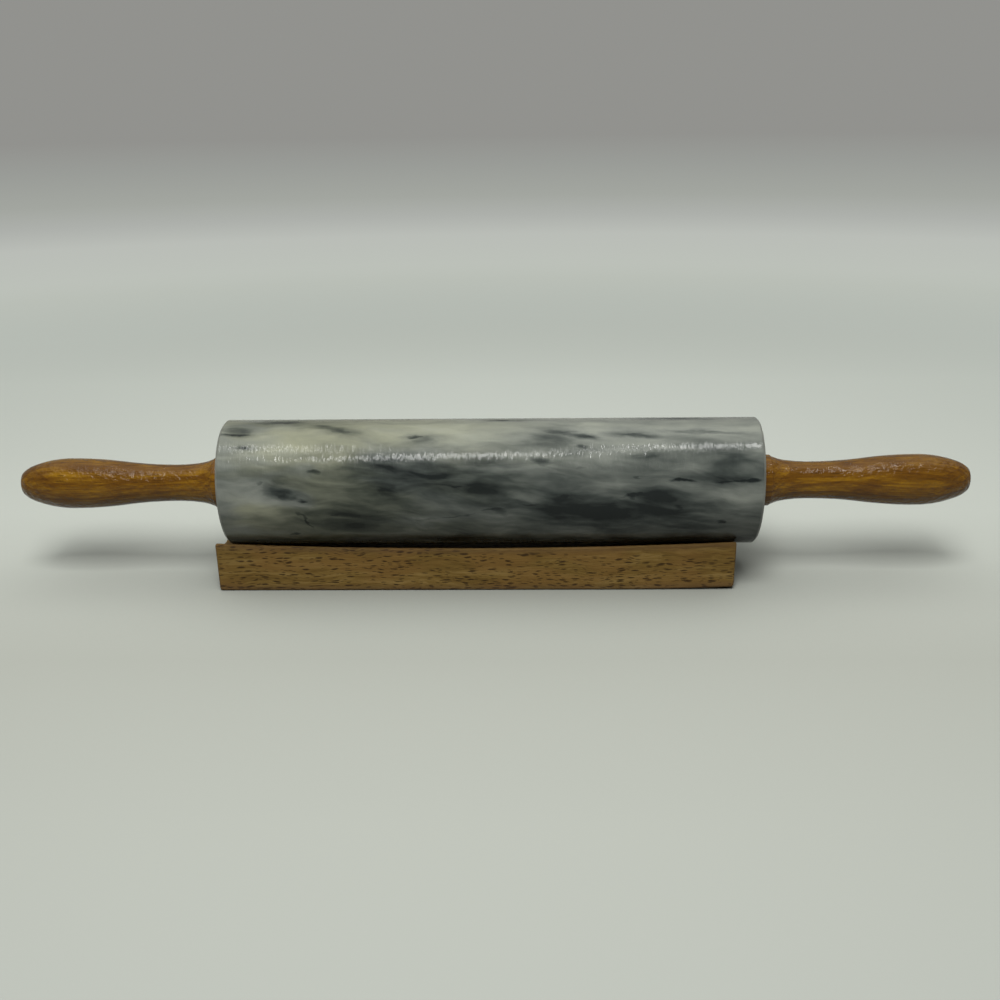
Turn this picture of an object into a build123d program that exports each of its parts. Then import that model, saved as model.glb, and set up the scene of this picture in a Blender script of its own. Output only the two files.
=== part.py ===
from build123d import *
import math
import os

os.makedirs("parts", exist_ok=True)

# Barrel: a marble cylinder, 10 inches long and 2 3/8 inches across
barrel_length = 254.0
barrel_diameter = 60.0
barrel_rim_bevel = 1.2
bore_diameter = 14.0  # drilled right through the stone

# Bushings: flanged nylon sleeves pressed into both ends of the bore
bushing_length = 22.0
bushing_flange_diameter = 24.0
bushing_flange_thickness = 1.6
bushing_lead_bevel = 0.8  # helps the sleeve into the bore

# Axle rod: steel, screwed into both handles
rod_diameter = 8.0
rod_reach = 26.0  # how far each end goes into its handle
rod_end_bevel = 1.0
thread_length = 23.0
thread_relief_width = 1.8
thread_relief_depth = 0.7

# Thrust washers between the bushings and the handles
washer_diameter = 18.0
washer_thickness = 0.8

# Threaded inserts: brass, barbed outside so that they hold in the wood
insert_diameter = 12.0
insert_length = 20.0
insert_setback = 0.5  # below the handle's inner face
insert_lip_length = 1.5
insert_barb_count = 5
insert_barb_depth = 0.5

# Handles: turned wood, nearly 4 inches long, with places measured from the inner face
handle_length = 100.4
collar_diameter = 24.4
collar_length = 5.5
collar_round = 0.7
cove_step = 0.2  # the collar stands this much proud of the cove
cove_run = 6.9  # length of the cove's tight arc, before the neck's long one
cove_rise = 0.9  # how far it still stands above the neck where it ends
neck_diameter = 17.6
neck_place = 24.5
grip_diameter = 24.2
grip_place = 76.0
nose_length = 5.2  # of the tight arc between the grip's long one and the butt
nose_diameter = 17.2  # where that arc starts
butt_diameter = 10.6  # the small flat at the outer end
butt_round = 1.6
drill_depth = 30.0
drill_point_angle = 118.0

# Cradle: one block of wood with a shallow trough along its top
cradle_length = 250.0
cradle_width = 41.0
cradle_height = 24.2  # at its two ends
cradle_shift = -7.7  # the pin doesn't lie quite over its middle
cradle_top_sag = 2.8  # how much lower the top is at mid length
trough_radius = 34.0  # at its two ends
trough_depth = 5.8  # at its two ends
trough_sag = 2.4  # how much wider the trough's radius is at mid length
cradle_top_round = 0.8
cradle_corner_round = 1.2
cradle_bottom_round = 1.3

# Clearances
seat_clearance = 0.3  # under the barrel, at the ends of the trough
running_clearance = 0.05  # all round the rod in its bushings
washer_clearance = 0.2  # all round the rod in its washers
thrust_clearance = 0.1  # on each face of each washer
drill_clearance = 0.25  # all round the rod in its handle's hole
overrun = 5.0  # how far a cut runs past the material

# Places that follow from these sizes
barrel_radius = barrel_diameter / 2
bore_radius = bore_diameter / 2
rod_radius = rod_diameter / 2
insert_radius = insert_diameter / 2
barrel_end = barrel_length / 2
washer_place = barrel_end + thrust_clearance
handle_face = washer_place + washer_thickness + thrust_clearance
rod_end = handle_face + rod_reach
seat_height = cradle_height - trough_depth
axis_height = seat_height + seat_clearance + barrel_radius
spin_axis = Axis((0, 0, axis_height), (1, 0, 0))
sides = {"left": -1, "right": 1}


def outward_plane(side, distance):
    """A plane through the pin's axis: x points outwards on that side, y points up."""
    return Plane(
        origin=(side * distance, 0, axis_height), x_dir=(side, 0, 0), z_dir=(0, -side, 0)
    )


# Marble barrel, with its through bore and a seat for each bushing's flange
with BuildPart() as marble_barrel:
    with BuildSketch(Plane.YZ):
        with Locations((0, axis_height)):
            Circle(barrel_radius)
            Circle(bore_radius, mode=Mode.SUBTRACT)
    extrude(amount=barrel_end, both=True)
    rims = marble_barrel.edges().filter_by(GeomType.CIRCLE).group_by(SortBy.RADIUS)[-1]
    chamfer(rims, barrel_rim_bevel)
    for side in sides.values():
        with BuildSketch(Plane.YZ.offset(side * barrel_end)):
            with Locations((0, axis_height)):
                Circle(bushing_flange_diameter / 2)
        extrude(amount=-side * bushing_flange_thickness, mode=Mode.SUBTRACT)
marble_barrel.part.label = "marble_barrel"
export_step(marble_barrel.part, "parts/marble_barrel.step")

# Bushings, each a sleeve in the bore with its flange flush with the barrel's end
for name, side in sides.items():
    with BuildPart() as bushing:
        with BuildSketch(outward_plane(side, barrel_end)):
            with BuildLine():
                Polyline(
                    (0, rod_radius + running_clearance),
                    (0, bushing_flange_diameter / 2),
                    (-bushing_flange_thickness, bushing_flange_diameter / 2),
                    (-bushing_flange_thickness, bore_radius),
                    (bushing_lead_bevel - bushing_length, bore_radius),
                    (-bushing_length, bore_radius - bushing_lead_bevel),
                    (-bushing_length, rod_radius + running_clearance),
                    close=True,
                )
            make_face()
        revolve(axis=spin_axis)
    bushing.part.label = f"{name}_bushing"
    export_step(bushing.part, f"parts/{name}_bushing.step")

# Axle rod, with a relief groove at the root of each thread
with BuildPart() as axle_rod:
    with BuildSketch(Plane.YZ):
        with Locations((0, axis_height)):
            Circle(rod_radius)
    extrude(amount=rod_end, both=True)
    chamfer(axle_rod.edges().filter_by(GeomType.CIRCLE), rod_end_bevel)
    for side in sides.values():
        with BuildSketch(Plane.YZ.offset(side * (rod_end - thread_length))):
            with Locations((0, axis_height)):
                Circle(rod_radius + overrun)
                Circle(rod_radius - thread_relief_depth, mode=Mode.SUBTRACT)
        extrude(amount=-side * thread_relief_width, mode=Mode.SUBTRACT)
axle_rod.part.label = "axle_rod"
export_step(axle_rod.part, "parts/axle_rod.step")

# Thrust washers, plain steel rings on the rod
for name, side in sides.items():
    with BuildPart() as washer:
        with BuildSketch(Plane.YZ.offset(side * washer_place)):
            with Locations((0, axis_height)):
                Circle(washer_diameter / 2)
                Circle(rod_radius + washer_clearance, mode=Mode.SUBTRACT)
        extrude(amount=side * washer_thickness)
    washer.part.label = f"{name}_washer"
    export_step(washer.part, f"parts/{name}_washer.step")

# Threaded inserts, with barbs whose steep faces look towards the barrel
barb_root = insert_radius - insert_barb_depth
barb_pitch = (insert_length - insert_lip_length) / insert_barb_count
insert_outline = [(0, rod_radius), (0, insert_radius), (insert_lip_length, insert_radius)]
for barb in range(insert_barb_count):
    groove_start = insert_lip_length + barb * barb_pitch
    groove_end = groove_start + barb_pitch / 2
    insert_outline += [(groove_start, barb_root), (groove_end, barb_root), (groove_end, insert_radius)]
insert_outline += [(insert_length, barb_root), (insert_length, rod_radius)]

for name, side in sides.items():
    with BuildPart() as insert:
        with BuildSketch(outward_plane(side, handle_face + insert_setback)):
            with BuildLine():
                Polyline(*insert_outline, close=True)
            make_face()
        revolve(axis=spin_axis)
    insert.part.label = f"{name}_insert"
    export_step(insert.part, f"parts/{name}_insert.step")

# Handles: collar, cove, neck, grip and rounded butt, bored for the insert and the rod
collar_radius = collar_diameter / 2
cove_radius = collar_radius - cove_step
neck_radius = neck_diameter / 2
grip_radius = grip_diameter / 2
nose_radius = nose_diameter / 2
butt_radius = butt_diameter / 2
cove_end = (collar_length + cove_run, neck_radius + cove_rise)
swell_middle = ((neck_place + grip_place) / 2, (neck_radius + grip_radius) / 2)
nose_start = (handle_length - nose_length, nose_radius)
insert_end = insert_setback + insert_length
drill_radius = rod_radius + drill_clearance
drill_point = drill_radius / math.tan(math.radians(drill_point_angle / 2))

for name, side in sides.items():
    inwards, outwards = (0, -1) if side > 0 else (-1, 0)
    with BuildPart() as handle:
        with BuildSketch(outward_plane(side, handle_face)):
            with BuildLine():
                Polyline(
                    (handle_length, butt_radius),
                    (handle_length, 0),
                    (0, 0),
                    (0, collar_radius),
                    (collar_length, collar_radius),
                    (collar_length, cove_radius),
                )
                neck = TangentArc((neck_place, neck_radius), cove_end, tangent=(-1, 0))
                TangentArc(cove_end, (collar_length, cove_radius), tangent=neck % 1)
                swell = TangentArc((neck_place, neck_radius), swell_middle, tangent=(1, 0))
                TangentArc(swell_middle, (grip_place, grip_radius), tangent=swell % 1)
                grip = TangentArc((grip_place, grip_radius), nose_start, tangent=(1, 0))
                TangentArc(nose_start, (handle_length, butt_radius), tangent=grip % 1)
            make_face()
        revolve(axis=spin_axis)
        rings = handle.edges().filter_by(GeomType.CIRCLE).sort_by(Axis.X)
        fillet(rings[outwards], butt_round)
        fillet(rings[inwards], collar_round)
        with BuildSketch(outward_plane(side, handle_face)):
            with BuildLine():
                Polyline(
                    (-overrun, 0),
                    (-overrun, insert_radius),
                    (insert_end, insert_radius),
                    (insert_end, drill_radius),
                    (drill_depth, drill_radius),
                    (drill_depth + drill_point, 0),
                    close=True,
                )
            make_face()
        revolve(axis=spin_axis, mode=Mode.SUBTRACT)
    handle.part.label = f"{name}_handle"
    export_step(handle.part, f"parts/{name}_handle.step")

# Cradle: its long top edges dip a little towards mid length, and so does its trough
cradle_left = cradle_shift - cradle_length / 2
cradle_right = cradle_shift + cradle_length / 2
trough_left = cradle_left - overrun
trough_right = cradle_right + overrun
trough_centre = seat_height + trough_radius

with BuildPart() as cradle:
    with BuildSketch(Plane.XZ):
        with BuildLine():
            ThreePointArc(
                (cradle_left, cradle_height),
                (cradle_shift, cradle_height - cradle_top_sag),
                (cradle_right, cradle_height),
            )
            Polyline(
                (cradle_right, cradle_height),
                (cradle_right, 0),
                (cradle_left, 0),
                (cradle_left, cradle_height),
            )
        make_face()
    extrude(amount=cradle_width / 2, both=True)
    fillet(cradle.edges().filter_by(Axis.Z), cradle_corner_round)
    fillet(cradle.faces().sort_by(Axis.Z)[0].edges(), cradle_bottom_round)
    fillet(cradle.faces().sort_by(Axis.Z)[-1].edges(), cradle_top_round)
    with BuildSketch(Plane.XZ):
        with BuildLine():
            ThreePointArc(
                (trough_left, seat_height),
                (cradle_shift, seat_height - trough_sag),
                (trough_right, seat_height),
            )
            Polyline(
                (trough_right, seat_height),
                (trough_right, trough_centre),
                (trough_left, trough_centre),
                (trough_left, seat_height),
            )
        make_face()
    revolve(axis=Axis((cradle_shift, 0, trough_centre), (1, 0, 0)), mode=Mode.SUBTRACT)
cradle.part.label = "cradle"
export_step(cradle.part, "parts/cradle.step")
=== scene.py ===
import math
import random

import bmesh
import bpy
import numpy as np
from mathutils import Matrix, Vector


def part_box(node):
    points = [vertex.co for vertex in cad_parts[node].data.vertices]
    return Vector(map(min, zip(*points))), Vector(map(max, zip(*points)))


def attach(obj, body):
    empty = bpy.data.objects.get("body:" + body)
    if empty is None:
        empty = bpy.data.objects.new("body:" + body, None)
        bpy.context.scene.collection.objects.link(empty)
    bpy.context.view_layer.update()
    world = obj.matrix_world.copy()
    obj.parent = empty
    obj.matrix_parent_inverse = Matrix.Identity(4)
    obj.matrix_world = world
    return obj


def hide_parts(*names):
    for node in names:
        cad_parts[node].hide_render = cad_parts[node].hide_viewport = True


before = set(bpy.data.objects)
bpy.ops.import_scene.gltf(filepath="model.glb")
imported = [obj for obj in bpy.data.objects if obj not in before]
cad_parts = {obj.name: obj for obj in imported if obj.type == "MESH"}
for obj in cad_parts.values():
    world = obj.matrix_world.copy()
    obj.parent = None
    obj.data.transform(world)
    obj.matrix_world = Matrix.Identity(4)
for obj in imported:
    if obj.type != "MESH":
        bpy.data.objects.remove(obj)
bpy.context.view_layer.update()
millimetre = 0.001

barrelLow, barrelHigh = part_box("marble_barrel")
barrelRadius = (barrelHigh.z - barrelLow.z) / 2
axisHeight = (barrelHigh.z + barrelLow.z) / 2
print("frame loaded, the pin's axis is", round(axisHeight, 4), "m above the floor")


# Camera: stands a little right of the middle and looks down on the pin
cameraValues = {
    "place": (0.0198, -0.5469, 0.2148),  # metres
    "downTilt": 24.62,  # degrees, as are the next two
    "leftTurn": 1.72,
    "lean": -0.77,
    "lens": 42.08,  # millimetres
    "rise": 0.14,  # share of the picture's width by which it is shifted
    "clip": (0.01, 50),
}


def makeCamera(values):
    lens = bpy.data.cameras.new("camera")
    lens.lens = values["lens"]
    lens.shift_y = values["rise"]
    lens.clip_start, lens.clip_end = values["clip"]
    camera = bpy.data.objects.new("camera", lens)
    bpy.context.collection.objects.link(camera)
    turn = Matrix.Rotation(math.radians(values["leftTurn"]), 4, "Z")
    tilt = Matrix.Rotation(math.radians(90 - values["downTilt"]), 4, "X")
    lean = Matrix.Rotation(math.radians(values["lean"]), 4, "Z")
    camera.matrix_world = Matrix.Translation(values["place"]) @ turn @ tilt @ lean
    bpy.context.scene.camera = camera


makeCamera(cameraValues)
bpy.context.scene.view_settings.view_transform = "Standard"
print("camera placed")


# Node helpers: addNode returns the node it adds, those that work out a value return its output
def plug(tree, socket, value):
    # Joins an output to the socket, or writes a constant to it
    if isinstance(value, bpy.types.NodeSocket):
        tree.links.new(value, socket)
    else:
        socket.default_value = value


def addNode(tree, kind, inputs=None, **settings):
    made = tree.nodes.new(kind)
    for name, value in settings.items():
        setattr(made, name, value)
    for place, value in (inputs or {}).items():
        plug(tree, made.inputs[place], value)
    return made


def calc(tree, operation, *values):
    return addNode(tree, "ShaderNodeMath", dict(enumerate(values)), operation=operation).outputs[0]


def vectorCalc(tree, operation, *values):
    return addNode(tree, "ShaderNodeVectorMath", dict(enumerate(values)), operation=operation).outputs[0]


def lengthOf(tree, vector):
    return addNode(tree, "ShaderNodeVectorMath", {0: vector}, operation="LENGTH").outputs["Value"]


def scaled(tree, vector, factor):
    made = addNode(tree, "ShaderNodeVectorMath", {0: vector, "Scale": factor}, operation="SCALE")
    return made.outputs[0]


def smoothStep(tree, value, start, end, low=0.0, high=1.0):
    inputs = {"Value": value, "From Min": start, "From Max": end, "To Min": low, "To Max": high}
    return addNode(tree, "ShaderNodeMapRange", inputs, interpolation_type="SMOOTHSTEP").outputs[0]


def noise(tree, vector, scale, detail, roughness=0.5, output="Fac"):
    inputs = {"Vector": vector, "Scale": scale, "Detail": detail, "Roughness": roughness}
    return addNode(tree, "ShaderNodeTexNoise", inputs).outputs[output]


def stretchedNoise(tree, point, stretch, detail, roughness=0.5, output="Fac"):
    # Noise on the point times the stretch: a small factor makes it long that way
    return noise(tree, vectorCalc(tree, "MULTIPLY", point, stretch), 1.0, detail, roughness, output)


def sway(tree, vector, scale, detail, reach):
    # Noise as a shift, seldom more than a quarter of the reach each way
    colour = noise(tree, vector, scale, detail, output="Color")
    return vectorCalc(tree, "MULTIPLY", vectorCalc(tree, "SUBTRACT", colour, (0.5, 0.5, 0.5)), reach)


def addShare(tree, total, value, share, middle=0.5):
    # total + share * (value - middle)
    return calc(tree, "MULTIPLY_ADD", calc(tree, "SUBTRACT", value, middle), share, total)


def mixColours(tree, share, first, second, blend="MIX"):
    inputs = {0: share, 6: first, 7: second}
    return addNode(tree, "ShaderNodeMix", inputs, data_type="RGBA", blend_type=blend).outputs[2]


def opaque(colour):
    return (*colour, 1)


def ramp(tree, value, stops):
    made = addNode(tree, "ShaderNodeValToRGB", {0: value})
    elements = made.color_ramp.elements
    while len(elements) < len(stops):
        elements.new(0.5)
    for element, (place, colour) in zip(elements, stops):
        element.position = place
        element.color = opaque(colour)
    return made.outputs[0]


def millimetres(tree):
    # Object coordinates in millimetres
    place = addNode(tree, "ShaderNodeTexCoord").outputs["Object"]
    return scaled(tree, place, 1 / millimetre)


def newMaterial(name):
    material = bpy.data.materials.new(name)
    material.use_nodes = True
    tree = material.node_tree
    return material, tree, tree.nodes["Principled BSDF"]


def feed(tree, shader, **sockets):
    # Joins outputs or writes constants to the shader, spaces in socket names given as _
    for name, value in sockets.items():
        plug(tree, shader.inputs[name.replace("_", " ")], value)


def bump(tree, height, distance):
    # The distance is in millimetres
    inputs = {"Height": height, "Distance": distance * millimetre, "Strength": 1.0}
    return addNode(tree, "ShaderNodeBump", inputs).outputs[0]


def newGroup(name, inputs, result):
    # A node group that works out one value; an input is a vector or a number, as its default is
    group = bpy.data.node_groups.new(name, "ShaderNodeTree")
    for label, value in inputs.items():
        kind = "NodeSocketVector" if isinstance(value, tuple) else "NodeSocketFloat"
        group.interface.new_socket(name=label, in_out="INPUT", socket_type=kind).default_value = value
    group.interface.new_socket(name=result, in_out="OUTPUT", socket_type="NodeSocketFloat")
    return group, group.nodes.new("NodeGroupInput").outputs


def closeGroup(group, value):
    addNode(group, "NodeGroupOutput", {0: value})


def useGroup(tree, group, inputs):
    return addNode(tree, "ShaderNodeGroup", inputs, node_tree=group).outputs[0]


def seenRays(tree):
    # 1 for rays that show a thing directly, mirrored or through glass, 0 for those that only light
    rays = addNode(tree, "ShaderNodeLightPath").outputs
    seen = calc(tree, "MAXIMUM", rays["Is Camera Ray"], rays["Is Glossy Ray"])
    return calc(tree, "MAXIMUM", seen, rays["Is Transmission Ray"])


# Stage: a pale floor, lit near the pin, that goes over into a plain backdrop with distance
floorValues = {
    "halfSize": 14.0,  # metres
    "cells": 28,  # along each side
    "nearShades": [  # metres behind the pin's axis, colour of the floor there
        (-0.35, (0.385, 0.405, 0.373)),
        (-0.10, (0.455, 0.472, 0.425)),
        (0.10, (0.665, 0.70, 0.64)),
        (0.45, (0.82, 0.87, 0.80)),
    ],
    "farShades": [  # metres from the pin, how bright the floor looks there
        (0.5, (0.575, 0.62, 0.56)),
        (0.8, (0.55, 0.59, 0.54)),
        (1.1, (0.51, 0.54, 0.49)),
        (1.7, (0.49, 0.51, 0.475)),
        (2.1, (0.42, 0.435, 0.41)),
        (2.7, (0.365, 0.38, 0.35)),
        (4.5, (0.32, 0.33, 0.31)),
        (9.0, (0.287, 0.287, 0.272)),
    ],
    # The next two paint extra shade into the floor's colour near things, on top of the lamps' own shadows
    "closeness": 0.2,  # metres within which things deepen the shade under them
    "deepening": 0.7,
    "glow": (0.35, 1.3),  # metres from the pin where the plain shade starts and where it is full
    "bounce": (0.2, 0.2, 0.19),  # the floor's colour for rays that only light
}
worldValues = {"seen": (0.287, 0.287, 0.272), "glow": (0.05, 0.05, 0.048)}
weldDistance = 1e-7  # metres


def gridFaces(rows, columns, wrapRows=False, wrapColumns=False):
    # The quads between neighbouring points of a grid, joined round where it wraps
    i, j = np.meshgrid(
        np.arange(rows if wrapRows else rows - 1),
        np.arange(columns if wrapColumns else columns - 1),
        indexing="ij",
    )
    nextI, nextJ = (i + 1) % rows, (j + 1) % columns
    corners = [i * columns + j, i * columns + nextJ, nextI * columns + nextJ, nextI * columns + j]
    return np.stack(corners, -1).reshape(-1, 4)


def makeMesh(name, points, faces, sharpAngle, attributes=None):
    # Points on a grid and their faces become one closed mesh with its normals outwards
    mesh = bpy.data.meshes.new(name)
    mesh.from_pydata(points.reshape(-1, 3), [], faces.tolist())
    for label, values in (attributes or {}).items():
        layer = mesh.attributes.new(label, "FLOAT", "POINT")
        layer.data.foreach_set("value", np.ascontiguousarray(values, dtype=np.float32).ravel())
    work = bmesh.new()
    work.from_mesh(mesh)
    bmesh.ops.remove_doubles(work, verts=work.verts, dist=weldDistance)
    bmesh.ops.recalc_face_normals(work, faces=work.faces)
    work.to_mesh(mesh)
    work.free()
    mesh.shade_smooth()
    mesh.set_sharp_from_angle(angle=math.radians(sharpAngle))
    piece = bpy.data.objects.new(name, mesh)
    bpy.context.collection.objects.link(piece)
    return piece


def floorMaterial(values):
    # Near the pin the floor takes light and shadow, plus painted shade under it; far off it shows a plain
    # shade of its own
    material = bpy.data.materials.new("paleFloor")
    material.use_nodes = True
    tree = material.node_tree
    tree.nodes.clear()
    place = addNode(tree, "ShaderNodeTexCoord").outputs["Object"]
    behind = addNode(tree, "ShaderNodeSeparateXYZ", {0: place}).outputs["Y"]
    start, end = values["nearShades"][0][0], values["nearShades"][-1][0]
    span = {"Value": behind, "From Min": start, "From Max": end}
    share = addNode(tree, "ShaderNodeMapRange", span).outputs[0]
    nearStops = [((depth - start) / (end - start), colour) for depth, colour in values["nearShades"]]
    paper = ramp(tree, share, nearStops)
    # Ambient occlusion darkens the floor's colour under and around the pin: painted shade
    inputs = {"Color": paper, "Distance": values["closeness"]}
    paintedShade = addNode(tree, "ShaderNodeAmbientOcclusion", inputs).outputs["Color"]
    paintedShade = mixColours(tree, values["deepening"], paper, paintedShade)
    near = addNode(tree, "ShaderNodeBsdfDiffuse", {"Color": paintedShade}).outputs[0]

    # The far ramp runs over 1 / (1 + distance), so that its stops lie evenly in a view across the floor
    away = lengthOf(tree, place)
    nearness = calc(tree, "DIVIDE", 1.0, calc(tree, "ADD", away, 1.0))
    farStops = [(1 / (1 + distance), colour) for distance, colour in reversed(values["farShades"])]
    far = addNode(tree, "ShaderNodeEmission", {"Color": ramp(tree, nearness, farStops)}).outputs[0]
    glow = smoothStep(tree, away, *values["glow"])
    shown = addNode(tree, "ShaderNodeMixShader", {0: glow, 1: near, 2: far}).outputs[0]
    dim = addNode(tree, "ShaderNodeBsdfDiffuse", {"Color": opaque(values["bounce"])}).outputs[0]
    blend = addNode(tree, "ShaderNodeMixShader", {0: seenRays(tree), 1: dim, 2: shown}).outputs[0]
    addNode(tree, "ShaderNodeOutputMaterial", {"Surface": blend})
    return material


def makeFloor(values):
    # A flat square grid round the pin
    steps = np.linspace(-values["halfSize"], values["halfSize"], values["cells"] + 1)
    x, y = np.meshgrid(steps, steps, indexing="ij")
    points = np.stack([x, y, np.zeros_like(x)], -1)
    mesh = bpy.data.meshes.new("floor")
    faces = gridFaces(len(steps), len(steps))[:, ::-1]
    mesh.from_pydata(points.reshape(-1, 3), [], faces.tolist())
    floor = bpy.data.objects.new("floor", mesh)
    bpy.context.collection.objects.link(floor)
    mesh.materials.append(floorMaterial(values))


def makeWorld(values):
    world = bpy.data.worlds.new("studio")
    world.use_nodes = True
    tree = world.node_tree
    tree.nodes.clear()
    colour = mixColours(tree, seenRays(tree), opaque(values["glow"]), opaque(values["seen"]))
    background = addNode(tree, "ShaderNodeBackground", {"Color": colour, "Strength": 1.0})
    addNode(tree, "ShaderNodeOutputWorld", {"Surface": background.outputs[0]})
    bpy.context.scene.world = world


# Lights: a soft one in front and a panel overhead light the pin; five strips only give it highlights.
# Each runs from its start to its end and is as wide as given; radiance 1 would look white in a mirror.
lightTint = (1.0, 1.0, 0.985)
lampDefaults = {"lookAt": (0.0, 0.0, 0.05), "lights": False, "mirrored": True}
lightValues = {
    "front": {
        "start": (-0.2, -0.646, 0.877),
        "end": (0.17, -0.646, 0.877),
        "width": 0.62,
        "radiance": 16.6,
        "lights": True,
        "mirrored": False,
    },
    "panel": {
        "start": (-1.4, 0.35, 1.5),
        "end": (1.4, 0.35, 1.5),
        "width": 1.6,
        "lookAt": (0.0, 0.35, 0.0),
        "radiance": 0.62,
        "lights": True,
    },
    "leftStrip": {
        "start": (-0.323, -0.054, 1.074),
        "end": (-0.285, -0.335, 1.022),
        "width": 0.06,
        "radiance": 13.0,
    },
    "middleStrip": {
        "start": (-0.255, -0.563, 0.916),
        "end": (-0.09, -0.508, 0.965),
        "width": 0.08,
        "radiance": 24.0,
    },
    "brightStrip": {
        "start": (-0.11, -0.491, 0.981),
        "end": (0.012, -0.394, 1.007),
        "width": 0.08,
        "radiance": 30.0,
    },
    "faintStrip": {
        "start": (0.027, -0.381, 1.01),
        "end": (0.223, -0.225, 1.053),
        "width": 0.06,
        "radiance": 8.0,
    },
    "rightStrip": {
        "start": (0.238, -0.212, 1.056),
        "end": (0.332, -0.137, 1.077),
        "width": 0.14,
        "radiance": 24.0,
    },
}


def makeLight(name, values):
    # The lamp's watts follow from its radiance and its area
    start, end = Vector(values["start"]), Vector(values["end"])
    centre = (start + end) / 2
    along = (end - start).normalized()
    away = centre - Vector(values["lookAt"])
    away = (away - along * away.dot(along)).normalized()
    light = bpy.data.lights.new(name, "AREA")
    light.shape = "RECTANGLE"
    light.size, light.size_y = (end - start).length, values["width"]
    light.energy = values["radiance"] * math.pi * light.size * light.size_y
    light.color = lightTint
    lamp = bpy.data.objects.new(name, light)
    turn = Matrix((along, away.cross(along), away)).transposed()
    lamp.matrix_world = Matrix.Translation(centre) @ turn.to_4x4()
    lamp.visible_diffuse, lamp.visible_glossy = values["lights"], values["mirrored"]
    bpy.context.collection.objects.link(lamp)


makeFloor(floorValues)
makeWorld(worldValues)
for name, values in lightValues.items():
    makeLight(name, {**lampDefaults, **values})
print("floor, lights and world made")


# Shared effects: a mark on the stone, and the fibres and pores of wood
effectValues = {
    "markReach": 1.9,  # the halo's reach as a multiple of the mark's
    "markCore": (0.35, 0.95),  # nearness to the middle where the core starts and where it is full
    "markHalo": (0.0, 0.9),
    "haloDepth": 0.5,
    "fibreContrast": (0.3, 0.7),
    "fibreRoughness": 0.6,
    "poreEdge": (0.42, 0.2),  # distance from a pore's middle where it starts and where it is full
}


def makeMarkGroup(values):
    # One elliptical mark on a flat map, laid over what came before: a dark core about as large as
    # its reach and a fainter halo out to nearly twice as far
    inputs = {
        "Map": (0, 0, 0),
        "Place": (0, 0, 0),
        "Reach": (1, 1, 1),
        "Tilt": 0.0,
        "Depth": 1.0,
        "Before": 0.0,
    }
    group, given = newGroup("stoneMark", inputs, "Marks")
    turn = addNode(group, "ShaderNodeCombineXYZ", {"Z": given["Tilt"]}).outputs[0]
    reach = scaled(group, given["Reach"], values["markReach"])
    inputs = {"Vector": given["Map"], "Location": given["Place"], "Rotation": turn, "Scale": reach}
    local = addNode(group, "ShaderNodeMapping", inputs, vector_type="TEXTURE").outputs[0]
    near = addNode(group, "ShaderNodeTexGradient", {"Vector": local}, gradient_type="SPHERICAL").outputs[1]
    core = smoothStep(group, near, *values["markCore"])
    halo = smoothStep(group, near, *values["markHalo"], 0.0, values["haloDepth"])
    mark = calc(group, "MULTIPLY", calc(group, "MAXIMUM", core, halo), given["Depth"])
    # before + (1 - before) * mark
    rest = calc(group, "SUBTRACT", 1.0, given["Before"])
    closeGroup(group, calc(group, "MULTIPLY_ADD", rest, mark, given["Before"]))
    return group


def woodMap(group, given):
    # The point in lengths along X and in widths across it
    size = addNode(group, "ShaderNodeCombineXYZ", {0: given["Length"], 1: given["Width"], 2: given["Width"]})
    return vectorCalc(group, "DIVIDE", given["Point"], size.outputs[0])


def makeFibreGroup(values):
    # Long thin streaks along X, from 0 to 1
    inputs = {"Point": (0, 0, 0), "Length": 40.0, "Width": 1.0, "Detail": 3.0}
    group, given = newGroup("woodFibre", inputs, "Streaks")
    streaks = noise(group, woodMap(group, given), 1.0, given["Detail"], values["fibreRoughness"])
    closeGroup(group, smoothStep(group, streaks, *values["fibreContrast"]))
    return group


def makePoreGroup(values):
    # Short dashes along X, the open pores of the wood: 1 inside a dash
    inputs = {"Point": (0, 0, 0), "Length": 5.0, "Width": 1.0, "Share": 0.5}
    group, given = newGroup("woodPores", inputs, "Pores")
    inputs = {"Vector": woodMap(group, given), "Scale": 1.0}
    cells = addNode(group, "ShaderNodeTexVoronoi", inputs).outputs
    shape = smoothStep(group, cells["Distance"], *values["poreEdge"])
    chance = addNode(group, "ShaderNodeSeparateColor", {0: cells["Color"]}).outputs[0]
    present = calc(group, "LESS_THAN", chance, given["Share"])
    closeGroup(group, calc(group, "MULTIPLY", shape, present))
    return group


markGroup = makeMarkGroup(effectValues)
fibreGroup = makeFibreGroup(effectValues)
poreGroup = makePoreGroup(effectValues)


# Outlines and turned surfaces
def cornerArc(before, corner, after, radius, steps=6):
    # The arc of that radius that touches both sides of a corner
    before, corner, after = (np.array(point, dtype=float) for point in (before, corner, after))
    inwards = (before - corner) / np.linalg.norm(before - corner)
    onwards = (after - corner) / np.linalg.norm(after - corner)
    half = math.acos(np.clip(inwards @ onwards, -1, 1)) / 2
    centre = corner + (inwards + onwards) / np.linalg.norm(inwards + onwards) * radius / math.sin(half)
    start = corner + inwards * radius / math.tan(half) - centre
    end = corner + onwards * radius / math.tan(half) - centre
    sweep = math.pi - 2 * half
    share = np.linspace(0, 1, steps + 1)[:, None]
    return centre + (np.sin((1 - share) * sweep) * start + np.sin(share * sweep) * end) / math.sin(sweep)


def headedArc(start, heading, end, steps):
    # The arc that leaves its start with that heading and reaches the end, and its heading there:
    # seen from the start, the points of an arc turn evenly and lie sin(turn) away
    start, end = np.array(start, dtype=float), np.array(end, dtype=float)
    chord = end - start
    turn = math.remainder(math.atan2(chord[1], chord[0]) - heading, 2 * math.pi)
    share = np.linspace(0, 1, steps + 1) * turn
    reach = np.linalg.norm(chord) * np.sin(share) / math.sin(turn)
    points = start + reach[:, None] * np.stack([np.cos(heading + share), np.sin(heading + share)], -1)
    return points, heading + 2 * turn


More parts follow.
